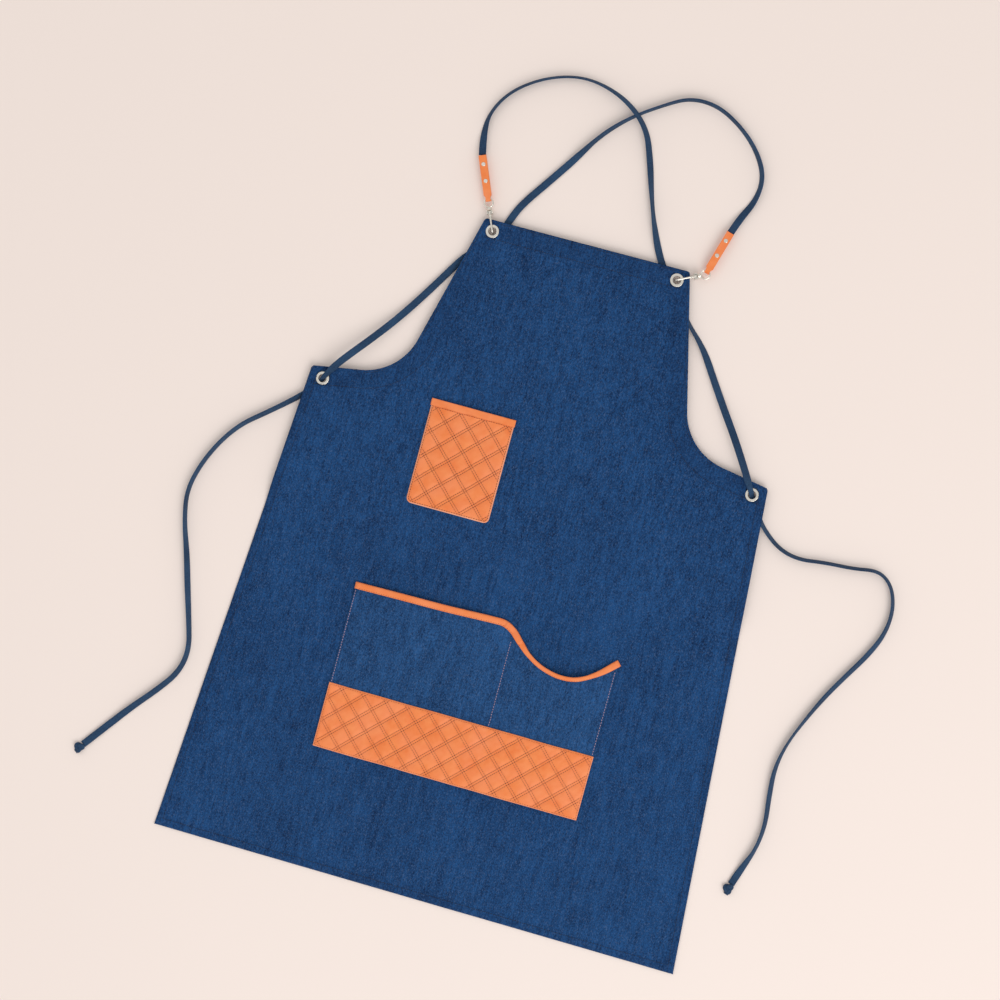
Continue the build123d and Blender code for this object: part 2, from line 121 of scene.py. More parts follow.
# Where the webbing stands on edge: share of its length, then degrees from lying flat
TWISTS = {
    "left": [(0, 0), (.04, 62), (.13, 68), (.19, 50), (.23, 35), (.27, 64), (.31, 20), (.34, 0), (.38, 62),
             (.42, 20), (.48, 0), (.53, 20), (.57, 62), (.62, 70), (.67, 72), (.72, 60), (.76, 45), (.80, 50),
             (.86, 68), (.91, 50), (.96, 60), (1, 0)],
    "right": [(0, 0), (.05, 58), (.11, 72), (.19, 80), (.24, 68), (.28, 20), (.33, 0), (.38, 35), (.42, 20),
              (.47, 12), (.52, 10), (.57, 45), (.62, 58), (.68, 68), (.75, 72), (.80, 50), (.86, 64),
              (.92, 40), (1, 0)],
}
STRAP_WIDTH, STRAP_THICKNESS = 9.0, 1.4


def spline_points(points):
    """The smooth line through a route's control points, as the curve itself gives it."""
    curve = bpy.data.curves.new("route", "CURVE")
    curve.dimensions = "3D"
    curve.resolution_u = 16
    spline = curve.splines.new("NURBS")
    spline.points.add(len(points) - 1)
    for slot, point in zip(spline.points, points):
        slot.co = (*point, 1.0)
    spline.order_u = 3
    spline.use_endpoint_u = True
    thing = bpy.data.objects.new("route", curve)
    bpy.context.collection.objects.link(thing)
    mesh = bpy.data.meshes.new_from_object(thing)
    line = [v.co.copy() for v in mesh.vertices]
    bpy.data.objects.remove(thing)
    bpy.data.meshes.remove(mesh)
    return line


def resample(line, step):
    """Points a step apart along a line, its ends kept."""
    lengths = [0.0]
    for a, b in zip(line, line[1:]):
        lengths.append(lengths[-1] + (b - a).length)
    count = max(2, round(lengths[-1] / step))
    out, k = [], 0
    for i in range(count + 1):
        want = lengths[-1] * i / count
        while k < len(line) - 2 and lengths[k + 1] < want:
            k += 1
        gap = lengths[k + 1] - lengths[k] or 1e-9
        out.append(line[k].lerp(line[k + 1], min(1.0, max(0.0, (want - lengths[k]) / gap))))
    return out


def interpolate(table, t):
    for (t0, a), (t1, b) in zip(table, table[1:]):
        if t <= t1:
            return a + (b - a) * smooth(t0, t1, t)
    return table[-1][1]


# Materials


class Nodes:
    """A short way to build a node material."""

    def __init__(self, name):
        self.material = bpy.data.materials.new(name)
        self.material.use_nodes = True
        self.tree = self.material.node_tree
        self.shader = self.tree.nodes["Principled BSDF"]

    def add(self, kind, values=None, **props):
        node = self.tree.nodes.new(kind)
        for key, value in props.items():
            setattr(node, key, value)
        for key, value in (values or {}).items():
            if isinstance(value, bpy.types.NodeSocket):
                self.tree.links.new(value, node.inputs[key])
            else:
                node.inputs[key].default_value = value
        return node

    def coords(self, scale, source="Object"):
        out = self.add("ShaderNodeTexCoord").outputs[source]
        return self.add("ShaderNodeMapping", {"Vector": out, "Scale": scale}).outputs["Vector"]

    def noise(self, scale, size, detail=3.0, rough=0.6, source="Object"):
        return self.add("ShaderNodeTexNoise", {
            "Vector": self.coords(scale, source), "Scale": size, "Detail": detail, "Roughness": rough,
        }).outputs["Fac"]

    def math(self, operation, a, b):
        return self.add("ShaderNodeMath", {0: a, 1: b}, operation=operation).outputs[0]

    def scaled(self, value, centre, gain):
        """centre plus gain times how far a 0 to 1 value is from its middle."""
        return self.math("ADD", self.math("MULTIPLY", self.math("SUBTRACT", value, 0.5), gain), centre)

    def mix(self, factor, a, b, blend="MIX"):
        node = self.add("ShaderNodeMix", data_type="RGBA", blend_type=blend)
        for key, value in ((0, factor), (6, a), (7, b)):
            if isinstance(value, bpy.types.NodeSocket):
                self.tree.links.new(value, node.inputs[key])
            else:
                node.inputs[key].default_value = value if key == 0 else (*value, 1.0)
        return node.outputs[2]

    def link(self, socket, name):
        self.tree.links.new(socket, self.shader.inputs[name])

    def bump(self, height, strength, distance):
        node = self.add("ShaderNodeBump", {"Height": height, "Strength": strength, "Distance": distance})
        self.link(node.outputs["Normal"], "Normal")

    def attribute(self, name):
        return self.add("ShaderNodeAttribute", attribute_name=name).outputs["Fac"]


def denim_material(name, dark, light, zone=True):
    n = Nodes(name)
    slub = n.noise((1.0, 0.10, 1.0), 330.0, 2.0)
    fine = n.noise((1.0, 0.6, 1.0), 620.0, 4.0, 0.85)
    blotch = n.noise((1.0, 0.55, 1.0), 95.0, 3.0)
    cloud = n.noise((1.0, 0.6, 1.0), 9.0, 3.0)
    wave = n.add("ShaderNodeTexWave", {
        "Vector": n.coords((1.0, 1.0, 1.0)), "Scale": 260.0, "Distortion": 1.5, "Detail": 2.0},
        wave_type="BANDS", bands_direction="DIAGONAL").outputs["Fac"]
    mixed = n.math("ADD", n.scaled(slub, 0.0, 0.8), n.scaled(fine, 0.5, 3.0))
    mixed = n.math("ADD", mixed, n.scaled(blotch, 0.0, 0.7))
    mixed = n.math("ADD", mixed, n.scaled(cloud, 0.0, 0.55))
    mixed = n.math("ADD", mixed, n.scaled(wave, 0.0, 0.12))
    factor = n.add("ShaderNodeClamp", {"Value": mixed}).outputs[0]
    colour = n.mix(factor, dark, light)
    weft = n.noise((1.0, 0.5, 1.0), 780.0, 2.0, 0.7)
    specks = n.add("ShaderNodeMapRange", {"Value": weft, "From Min": 0.55, "From Max": 0.68, "To Max": 0.65})
    colour = n.mix(specks.outputs["Result"], colour, [c * 0.75 + 0.055 for c in light])
    if zone:
        shade = n.math("MULTIPLY", n.attribute("zone"), 0.14)
        colour = n.mix(shade, colour, dark)
    n.link(colour, "Base Color")
    n.link(n.scaled(fine, 0.86, 0.2), "Roughness")
    n.bump(n.math("ADD", wave, fine), 0.35, 0.0006)
    n.shader.inputs["Sheen Weight"].default_value = 0.03
    n.shader.inputs["Sheen Roughness"].default_value = 0.5
    n.shader.inputs["Specular IOR Level"].default_value = 0.14
    return n.material


def leather_material(name, base, light, groove_shade):
    n = Nodes(name)
    mottle = n.noise((1.0, 1.0, 1.0), 70.0, 4.0)
    patch = n.noise((1.0, 1.0, 1.0), 30.0, 2.0)
    colour = n.mix(n.scaled(mottle, 0.45, 1.6), base, light)
    colour = n.mix(n.scaled(patch, 0.2, 1.6), colour, (0.94, 0.30, 0.13))
    # Painted shade: the leather is darkened towards a deeper brown along the quilted grooves, where shade falls.
    colour = n.mix(n.math("MULTIPLY", n.attribute("groove_shade"), 0.45), colour, groove_shade)
    colour = n.mix(n.attribute("raw_edge"), colour, (0.86, 0.46, 0.32))
    n.link(colour, "Base Color")
    pores = n.add("ShaderNodeTexVoronoi", {
        "Vector": n.coords((1.0, 1.0, 1.0)), "Scale": 950.0}).outputs["Distance"]
    n.link(n.scaled(mottle, 0.47, 0.25), "Roughness")
    n.bump(n.math("ADD", pores, mottle), 0.25, 0.0004)
    n.shader.inputs["Specular IOR Level"].default_value = 0.35
    return n.material


def webbing_material(name):
    n = Nodes(name)
    weave = n.add("ShaderNodeTexWave", {
        "Vector": n.coords((1.0, 1.0, 1.0), "UV"), "Scale": 5.5, "Distortion": 0.6, "Detail": 1.0},
        wave_type="BANDS", bands_direction="DIAGONAL").outputs["Fac"]
    fine = n.noise((1.0, 1.0, 1.0), 520.0, 3.0)
    cloud = n.noise((1.0, 1.0, 1.0), 28.0, 2.0)
    flecks = n.math("ADD", n.scaled(fine, 0.0, 0.9), n.scaled(cloud, 0.0, 0.8))
    factor = n.math("ADD", n.scaled(weave, 0.4, 0.5), flecks)
    factor = n.add("ShaderNodeClamp", {"Value": factor}).outputs[0]
    n.link(n.mix(factor, (0.009, 0.027, 0.068), (0.042, 0.110, 0.225)), "Base Color")
    n.link(n.scaled(fine, 0.8, 0.2), "Roughness")
    n.bump(weave, 0.5, 0.0005)
    n.shader.inputs["Sheen Weight"].default_value = 0.05
    n.shader.inputs["Specular IOR Level"].default_value = 0.2
    return n.material


def metal_material(name, colour, rough):
    n = Nodes(name)
    wear = n.noise((1.0, 1.0, 1.0), 700.0, 3.0)
    tint = n.mix(n.scaled(wear, 0.3, 0.8), colour, [c * 0.82 for c in colour])
    n.link(tint, "Base Color")
    n.link(n.scaled(wear, rough, 0.18), "Roughness")
    n.bump(wear, 0.08, 0.0002)
    n.shader.inputs["Metallic"].default_value = 1.0
    return n.material


def thread_material(name, colour):
    n = Nodes(name)
    twist = n.noise((1.0, 1.0, 1.0), 1800.0, 2.0)
    n.link(n.mix(n.scaled(twist, 0.5, 0.9), colour, [c * 0.6 for c in colour]), "Base Color")
    n.bump(twist, 0.3, 0.0002)
    n.shader.inputs["Roughness"].default_value = 0.75
    return n.material


DENIM_DARK, DENIM_LIGHT = (0.0012, 0.012, 0.050), (0.016, 0.086, 0.255)
denim = denim_material("denim", DENIM_DARK, DENIM_LIGHT)
denim_pocket = denim_material("denim_pocket", (0.0020, 0.016, 0.060), (0.024, 0.105, 0.290))
denim_inside = denim_material("denim_inside", (0.03, 0.06, 0.12), (0.16, 0.25, 0.40), zone=False)
# Each leather's third colour is a painted shade for its quilted grooves.
leather = leather_material("leather", (0.83, 0.180, 0.036), (0.94, 0.295, 0.092), (0.50, 0.10, 0.03))
leather_edge = leather_material("leather_edge", (0.80, 0.46, 0.26), (0.90, 0.60, 0.40), (0.6, 0.3, 0.15))
webbing = webbing_material("webbing")
nickel = metal_material("nickel", (0.86, 0.82, 0.74), 0.24)
steel = metal_material("steel", (0.62, 0.60, 0.57), 0.32)
thread_dark = thread_material("thread_dark", (0.085, 0.022, 0.012))
thread_tan = thread_material("thread_tan", (0.42, 0.10, 0.03))
thread_pale = thread_material("thread_pale", (0.46, 0.33, 0.44))
thread_navy = thread_material("thread_navy", (0.012, 0.022, 0.06))


# Pieces


def piece(name, verts, faces, material, body="root", edge=None):
    mesh = bpy.data.meshes.new(name)
    mesh.from_pydata([tuple(v) for v in verts], [], faces)
    mesh.materials.append(material)
    if edge:
        mesh.materials.append(edge)
    mesh.polygons.foreach_set("use_smooth", [True] * len(mesh.polygons))
    mesh.update()
    thing = bpy.data.objects.new(name, mesh)
    bpy.context.collection.objects.link(thing)
    if body:
        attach(thing, body)
    return thing


def set_attribute(thing, name, values):
    layer = thing.data.attributes.new(name, "FLOAT", "POINT")
    layer.data.foreach_set("value", values)


def thicken(thing, thickness, rim_slot=0, back_slot=0):
    """Gives a sheet its thickness, downward, and keeps the result in the mesh."""
    solid = thing.modifiers.new("thickness", "SOLIDIFY")
    solid.thickness = thickness * MM
    solid.offset = -1.0
    solid.material_offset_rim = rim_slot
    solid.material_offset = back_slot
    bpy.context.view_layer.objects.active = thing
    with bpy.context.temp_override(object=thing, active_object=thing):
        bpy.ops.object.modifier_apply(modifier=solid.name)


def grid_faces(rows, columns, skip=()):
    faces = []
    for r in range(rows - 1):
        for c in range(columns - 1):
            if (r, c) not in skip:
                a = r * columns + c
                faces.append((a, a + 1, a + columns + 1, a + columns))
    return faces


# Apron panel, in millimetres off the hem's middle. The outline and the eyelets repeat the design's numbers. The
# cloth's thickness, hems and ripples are this script's own.

HEM_HALF, WAIST_HALF, WAIST_Y = 345.0, 296.0, 622.0
BIB_HALF, BIB_Y = 132.0, 856.0
CORNER_X, CORNER_Y, ARMHOLE_RADIUS = 186.5, 640.5, 75.0
UPPER_LIFT, RAMP_START, RAMP_LENGTH = 7.0, 430.0, 46.0
DENIM_THICKNESS = 1.4
HEM_WIDTH, HEM_RISE = 11.0, 0.55
FACING_WIDTH, FACING_RISE = 25.0, 0.35
EYELET_CUT, NEAR_EYELET = 7.4, 12.0
PANEL_COLUMNS, PANEL_STEP = 231, 2.6
EYELETS = {"bib_left": (-119.0, 842.0), "bib_right": (119.0, 842.0),
           "waist_left": (-279.0, 609.5), "waist_right": (279.0, 609.5)}


def right_edge():
    """The panel's right edge from the hem up to the bib's top, as points in order."""
    corner = Vector((CORNER_X, CORNER_Y))
    waist, bib = Vector((WAIST_HALF, WAIST_Y)), Vector((BIB_HALF, BIB_Y))
    to_waist, to_bib = (waist - corner).normalized(), (bib - corner).normalized()
    half = math.acos(max(-1, min(1, to_waist.dot(to_bib)))) / 2
    reach = ARMHOLE_RADIUS / math.tan(half)
    centre = corner + (to_waist + to_bib).normalized() * (ARMHOLE_RADIUS / math.sin(half))
    start, end = corner + to_waist * reach, corner + to_bib * reach
    first, last = start - centre, end - centre
    sweep = first.angle_signed(last)
    arc = []
    for i in range(29):
        turn = -sweep * i / 28
        arc.append(centre + Matrix.Rotation(turn, 2) @ first)
    straight = [Vector((HEM_HALF, 0)), Vector((HEM_HALF - 0.6, 1.2)), Vector((WAIST_HALF + 0.4, WAIST_Y - 3))]
    line = straight + [Vector((WAIST_HALF - 1.6, WAIST_Y + 0.3))] + arc
    line += [bib + Vector((0.5, -4)), bib + Vector((-2.5, 0))]
    return line


def dense(line, step):
    out = [line[0]]
    for a, b in zip(line, line[1:]):
        count = max(1, round((b - a).length / step))
        out += [a.lerp(b, (i + 1) / count) for i in range(count)]
    return out


EDGE = right_edge()


def edge_distance(x, y):
    """How far a place on the panel is from its nearest edge, and which kind of edge that is."""
    p = Vector((abs(x), y))
    best, kind = y, "hem"
    if BIB_Y - y < best:
        best, kind = BIB_Y - y, "top"
    for a, b in zip(EDGE, EDGE[1:]):
        low, high = min(a.y, b.y) - 40, max(a.y, b.y) + 40
        if not low < y < high:
            continue
        along = b - a
        t = max(0.0, min(1.0, (p - a).dot(along) / (along.length_squared or 1)))
        gap = (p - a - along * t).length
        if gap < best:
            best, kind = gap, ("side" if a.y < WAIST_Y - 3.5 else "armhole")
    return best, kind


def cloth_base(x, y):
    """Height of the cloth's top side away from its hems."""
    lift = UPPER_LIFT * smooth(RAMP_START, RAMP_START + RAMP_LENGTH, y)
    ripple = noise.noise(Vector((x * 0.011, y * 0.006, 3.1)))
    ripple += 0.5 * noise.noise(Vector((x * 0.03, y * 0.012, 9.4)))
    return lift + DENIM_THICKNESS + 0.45 * max(0.0, 0.6 + ripple)


def hem_size(kind):
    """Width and extra height of the doubled cloth along a kind of edge."""
    return (HEM_WIDTH, HEM_RISE) if kind in ("hem", "side") else (FACING_WIDTH, FACING_RISE)


def make_panel():
    rows = dense(EDGE, PANEL_STEP)
    columns = PANEL_COLUMNS
    verts, zone, skip = [], [], set()
    for r, edge in enumerate(rows):
        for c in range(columns):
            x = edge.x * (2 * c / (columns - 1) - 1)
            y = edge.y
            gap, kind = edge_distance(x, y)
            z = cloth_base(x, y)
            width, rise = hem_size(kind)
            z += rise * (1 - smooth(width - 1.2, width + 0.8, gap)) - 0.5 * (1 - smooth(0, 1.6, gap))
            zone.append(1 - smooth(width - 1.5, width + 2.5, gap))
            verts.append(at(x, y, z))
            for ex, ey in EYELETS.values():
                near = abs(x - ex) < NEAR_EYELET and abs(y - ey) < NEAR_EYELET
                if near and math.hypot(x - ex, y - ey) < EYELET_CUT:
                    skip.update({(r, c), (r - 1, c), (r, c - 1), (r - 1, c - 1)})
    panel = piece("denim_panel", verts, grid_faces(len(rows), columns, skip), denim, edge=denim_inside)
    set_attribute(panel, "zone", zone)
    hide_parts("apron_panel")
    return panel


def capsule(start, end, up, radius):
    """A small rounded stitch from start to end, sitting on the cloth: its points and faces."""
    along = (end - start).normalized()
    side = along.cross(up).normalized()
    verts, faces = [], []
    rings = ((0.0, 0.35), (0.18, 1.0), (0.82, 1.0), (1.0, 0.35))
    for share, size in rings:
        middle = start.lerp(end, share)
        for k in range(6):
            turn = math.tau * k / 6
            verts.append(middle + (side * math.cos(turn) + up * math.sin(turn) * 0.7) * radius * size)
    for ring in range(3):
        for k in range(6):
            a, b = ring * 6 + k, ring * 6 + (k + 1) % 6
            faces.append((a, a + 6, b + 6, b))
    faces.append(tuple(range(6)))
    faces.append(tuple(range(23, 17, -1)))
    return verts, faces


def stitches(name, lines, surface, material, pitch=3.2, length=2.3, radius=0.32):
    """Stitches along flat lines, in millimetres, laid on a surface."""
    verts, faces = [], []
    up = Vector((0, 0, 1))
    for line in lines:
        run = resample([Vector((x, y, 0)) for x, y in line], pitch)
        for a, b in zip(run, run[1:]):
            gap = (b - a) * (1 - length / pitch) / 2
            jitter = random.uniform(-0.12, 0.12)
            p, q = a + gap, b - gap
            start = at(p.x + jitter, p.y - jitter, surface(p.x, p.y) + radius * 0.25)
            end = at(q.x + jitter, q.y - jitter, surface(q.x, q.y) + radius * 0.25)
            new, fresh = capsule(start, end, up, radius * MM)
            faces += [tuple(i + len(verts) for i in f) for f in fresh]
            verts += new
    piece(name, verts, faces, material)


def panel_surface(x, y):
    return cloth_base(x, y) + hem_size(edge_distance(x, y)[1])[1]


def inset_edge(distance):
    """The right edge moved in by a distance."""
    out = []
    for i in range(1, len(EDGE) - 1):
        along = (EDGE[i + 1] - EDGE[i - 1]).normalized()
        out.append(EDGE[i] + Vector((-along.y, along.x)) * distance)
    return out


panel = make_panel()
side_inset, facing_inset = 9.5, 23.0
side_line = [(HEM_HALF - side_inset, side_inset)] + [(WAIST_HALF - side_inset, WAIST_Y - 8)]
arm_line = [(p.x, p.y) for p in inset_edge(facing_inset) if p.y < BIB_Y - facing_inset and p.y > WAIST_Y - 30]
arm_line = [(WAIST_HALF - 6, WAIST_Y - facing_inset + 1)] + arm_line[2:]
near_line = [(p.x, p.y) for p in inset_edge(3.0) if p.y > WAIST_Y - 2][1:]
hem_lines = [[(-HEM_HALF + side_inset, side_inset), (HEM_HALF - side_inset, side_inset)]]
for sign in (-1, 1):
    hem_lines.append([(sign * x, y) for x, y in side_line])
    hem_lines.append([(sign * x, y) for x, y in arm_line])
    hem_lines.append([(sign * x, y) for x, y in near_line])
hem_lines.append([(-BIB_HALF + 5, BIB_Y - facing_inset), (BIB_HALF - 5, BIB_Y - facing_inset)])
hem_lines.append([(-BIB_HALF + 5, BIB_Y - 3), (BIB_HALF - 5, BIB_Y - 3)])
stitches("hem_stitches", hem_lines, panel_surface, thread_navy)
thicken(panel, DENIM_THICKNESS, back_slot=1)


# Quilted leather

PAIR = 1.5  # each of a pair of stitch lines is this far from the pair's middle


def hand_sewn(x, y):
    """How far a line of stitches wanders from the straight."""
    return 0.9 * noise.noise(Vector((x * 0.021, y * 0.021, 2.7)))


def lattice_gap(x, y, origin, pitch):
    """Distance to the nearest pair's middle, each way."""
    period = pitch / math.sqrt(2)
    gaps = []
    x += hand_sewn(x, y)
    for value in ((x - origin[0] + y - origin[1]), (x - origin[0] - y + origin[1])):
        d = value / math.sqrt(2)
        gaps.append(abs(d - period * round(d / period)))
    return gaps


def quilt(x, y, origin, pitch):
    """How far the leather stands proud of its stitch lines, from 0 to 1, and how deep in a stitched channel it
    lies, which also weights the painted shade there.
    """
    puff, groove_shade = 1.0, 0.0
    for gap in lattice_gap(x, y, origin, pitch):
        puff = min(puff, 0.25 + 0.75 * smooth(PAIR, PAIR + 5.5, gap) if gap > PAIR else 0.25)
        groove_shade = max(groove_shade, math.exp(-((gap - PAIR) / 0.75) ** 2))
    return puff - 0.25 * groove_shade, groove_shade


def lattice_lines(low, high, origin, pitch, keep):
    """Every stitch line of the lattice inside a rectangle, where keep says so."""
    lines = []
    period = pitch / math.sqrt(2)
    span = (high[0] - low[0]) + (high[1] - low[1])
    centre = Vector(((low[0] + high[0]) / 2, (low[1] + high[1]) / 2))
    for sign in (1, -1):
        along, across = Vector((1, -sign)).normalized(), Vector((1, sign)).normalized()
        base = Vector(origin)
        reach = int(span / period) + 2
        for k in range(-reach, reach + 1):
            for offset in (-PAIR, PAIR):
                point = base + across * (k * period + offset)
                point += along * (centre - point).dot(along)
                run = [point + along * t for t in range(-int(span), int(span))]
                inside = [p for p in run if keep(p.x, p.y)]
                if len(inside) > 4:
                    lines.append([(p.x - hand_sewn(p.x, p.y), p.y) for p in inside])
    return lines


# Chest pocket

CHEST_LEFT, CHEST_BOTTOM, CHEST_W, CHEST_H = -137.0, 487.0, 108.0, 135.0
CHEST_CORNER, CHEST_BAND = 7.0, 9.0
CHEST_ORIGIN, CHEST_PITCH = (CHEST_LEFT + 22.8, CHEST_BOTTOM + CHEST_H - 25.0), 30.8
LEATHER_THICKNESS = 1.3


def chest_height(x, y):
    u = (x - CHEST_LEFT) / CHEST_W
    v = (y - CHEST_BOTTOM) / CHEST_H
    crown = (max(0.0, math.sin(math.pi * min(1, max(0, u)))) ** 0.7) * (0.35 + 0.65 * smooth(0.0, 1.0, v))
    crown *= smooth(0.0, 0.08, v)
    return cloth_base(x, y) + LEATHER_THICKNESS + 0.25 + 2.1 * crown


def chest_surface(x, y):
    puff, _ = quilt(x, y, CHEST_ORIGIN, CHEST_PITCH)
    inset = min(x - CHEST_LEFT, CHEST_LEFT + CHEST_W - x, y - CHEST_BOTTOM)
    puff *= smooth(1.0, 5.0, inset)
    if y > CHEST_BOTTOM + CHEST_H - CHEST_BAND:
        puff = 0.1
    return chest_height(x, y) + 0.95 * puff


def chest_half_inset(y):
    """How much the rounded bottom corners take off each side at a height."""
    t = y - CHEST_BOTTOM
    if t >= CHEST_CORNER:
        return 0.0
    return CHEST_CORNER - math.sqrt(max(0.0, CHEST_CORNER ** 2 - (CHEST_CORNER - t) ** 2))


def make_chest_pocket():
    rows, columns = 125, 101
    verts, groove_shade, raw = [], [], []
    for r in range(rows):
        t = r / (rows - 1)
        y = CHEST_BOTTOM + CHEST_H * t if t > 0.06 else CHEST_BOTTOM + CHEST_H * 0.06 * (t / 0.06) ** 1.6
        inset = chest_half_inset(y)
        for c in range(columns):
            x = CHEST_LEFT + inset + (CHEST_W - 2 * inset) * c / (columns - 1)
            _, g = quilt(x, y, CHEST_ORIGIN, CHEST_PITCH)
            if y > CHEST_BOTTOM + CHEST_H - CHEST_BAND:
                g = 0.0
            # Weight of the painted shade along the quilted grooves.
            groove_shade.append(g * 0.8)
            gap = min(x - CHEST_LEFT - inset, CHEST_LEFT + CHEST_W - inset - x, y - CHEST_BOTTOM)
            raw.append(0.85 * (1 - smooth(0.5, 1.5, gap)))
            verts.append(at(x, y, chest_surface(x, y) - 0.5 * (1 - smooth(0.0, 1.2, gap))))
    pocket = piece("chest_pocket_leather", verts, grid_faces(rows, columns), leather,
                   edge=leather_edge)
    set_attribute(pocket, "groove_shade", groove_shade)
    set_attribute(pocket, "raw_edge", raw)
    thicken(pocket, LEATHER_THICKNESS, 1)
    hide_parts("chest_pocket_panel")

    def keep(x, y):
        inset = chest_half_inset(y) + 3.2
        return (CHEST_LEFT + inset < x < CHEST_LEFT + CHEST_W - inset
                and CHEST_BOTTOM + 3.2 < y < CHEST_BOTTOM + CHEST_H - CHEST_BAND - 0.6)

    low, high = (CHEST_LEFT, CHEST_BOTTOM), (CHEST_LEFT + CHEST_W, CHEST_BOTTOM + CHEST_H)
    lattice = lattice_lines(low, high, CHEST_ORIGIN, CHEST_PITCH, keep)
    stitches("chest_quilt_stitches", lattice, chest_surface, thread_dark, pitch=3.0,
             length=2.3, radius=0.26)
    inset = 2.2
    corner = CHEST_CORNER - inset
    right, bottom, top = CHEST_LEFT + CHEST_W, CHEST_BOTTOM, CHEST_BOTTOM + CHEST_H
    border = [(CHEST_LEFT + inset, top - 1)]
    for centre_x, turn in ((CHEST_LEFT + CHEST_CORNER, math.pi), (right - CHEST_CORNER, 1.5 * math.pi)):
        for i in range(7):
            a = turn + math.pi / 2 * i / 6
            border.append((centre_x + corner * math.cos(a), bottom + CHEST_CORNER + corner * math.sin(a)))
    border.append((right - inset, top - 1))
    stitches("chest_border_stitches", [border], chest_surface, thread_dark, radius=0.32)


STRIP_STEP = 1.5


def strip_piece(name, left, right, low, high, surface, thickness, rise, replaces):
    """A folded leather strip with rounded long sides, laid over a surface."""
    columns = int((right - left) / STRIP_STEP) + 2
    profile = [(-0.5, -0.2), (-0.5, 0.45), (-0.44, 0.85), (-0.3, 1.0), (0, 1.06), (0.3, 1.0), (0.44, 0.85),
               (0.5, 0.45), (0.5, -0.2)]
    verts = []
    for c in range(columns):
        x = left + (right - left) * c / (columns - 1)
        for share, height in profile:
            y = (low + high) / 2 + share * (high - low)
            wobble = 0.25 * noise.noise(Vector((x * 0.05, 4.0, y * 0.02)))
            verts.append(at(x, y + wobble, surface(x, min(y, high - 0.5)) + rise + thickness * height))
    count = len(profile)
    faces = []
    for c in range(columns - 1):
        for k in range(count):
            a, b = c * count + k, c * count + (k + 1) % count
            faces.append((a, b, b + count, a + count))
    faces.append(tuple(range(count - 1, -1, -1)))
    faces.append(tuple((columns - 1) * count + k for k in range(count)))
    strip = piece(name, verts, faces, leather)
    set_attribute(strip, "groove_shade", [0.0] * len(verts))
    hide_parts(replaces)


make_chest_pocket()
chest_top = CHEST_BOTTOM + CHEST_H
strip_piece("chest_pocket_top_band", CHEST_LEFT - 0.8, CHEST_LEFT + CHEST_W + 0.8, chest_top - CHEST_BAND,
            chest_top, chest_surface, 1.0, 0.1, "chest_pocket_band")
stitches("chest_band_stitches", [[(CHEST_LEFT + 1.5, chest_top - CHEST_BAND - 0.9),
                                  (CHEST_LEFT + CHEST_W - 1.5, chest_top - CHEST_BAND - 0.9)]],
         chest_surface, thread_tan, radius=0.26)


# Lower pocket

POCKET_LEFT, POCKET_RIGHT, POCKET_BOTTOM, BAND_TOP = -172.0, 176.0, 155.0, 239.0
DIVIDER_X = 38.0
MOUTH = [(-172, 367.5), (-110, 369), (-50, 370), (5, 372), (24, 371.5), (37, 365), (49, 354), (64, 341),
         (84, 330.5), (108, 325.5), (131, 328.5), (154, 342), (176, 362)]
BAND_ORIGIN, BAND_PITCH = (POCKET_LEFT + 32.0, BAND_TOP - 19.0), 29.3


def mouth_line():
    """The binding's middle line, smooth through the mouth's points."""
    points = [Vector(p) for p in MOUTH]
    points = [points[0] * 2 - points[1]] + points + [points[-1] * 2 - points[-2]]
    out = []
    for p0, p1, p2, p3 in zip(points, points[1:], points[2:], points[3:]):
        for i in range(12):
            t = i / 12
            out.append(0.5 * (2 * p1 + (p2 - p0) * t + (2 * p0 - 5 * p1 + 4 * p2 - p3) * t * t
                              + (3 * p1 - p0 - 3 * p2 + p3) * t ** 3))
    return out + [points[-2]]


MOUTH_LINE = mouth_line()


def mouth_y(x):
    for a, b in zip(MOUTH_LINE, MOUTH_LINE[1:]):
        if a.x <= x <= b.x:
            return a.y + (b.y - a.y) * (x - a.x) / ((b.x - a.x) or 1e-9)
    return MOUTH_LINE[0].y if x < 0 else MOUTH_LINE[-1].y


def pocket_surface(x, y):
    """Height of the pocket cloth's top side."""
    top = mouth_y(x)
    t = min(1.0, max(0.0, (y - POCKET_BOTTOM) / (top - POCKET_BOTTOM)))
    if x < DIVIDER_X:
        u, gape = (x - POCKET_LEFT) / (DIVIDER_X - POCKET_LEFT), 4.2
    else:
        u, gape = (x - DIVIDER_X) / (POCKET_RIGHT - DIVIDER_X), 6.0
    crown = max(0.0, math.sin(math.pi * min(1.0, max(0.0, u)))) ** 0.75
    seam_open = smooth(0.62, 1.0, t) * 1.2 if abs(x - DIVIDER_X) < 12 else 0.0
    return cloth_base(x, y) + DENIM_THICKNESS + 0.1 + gape * crown * (0.18 + 0.82 * t ** 2.2) + seam_open


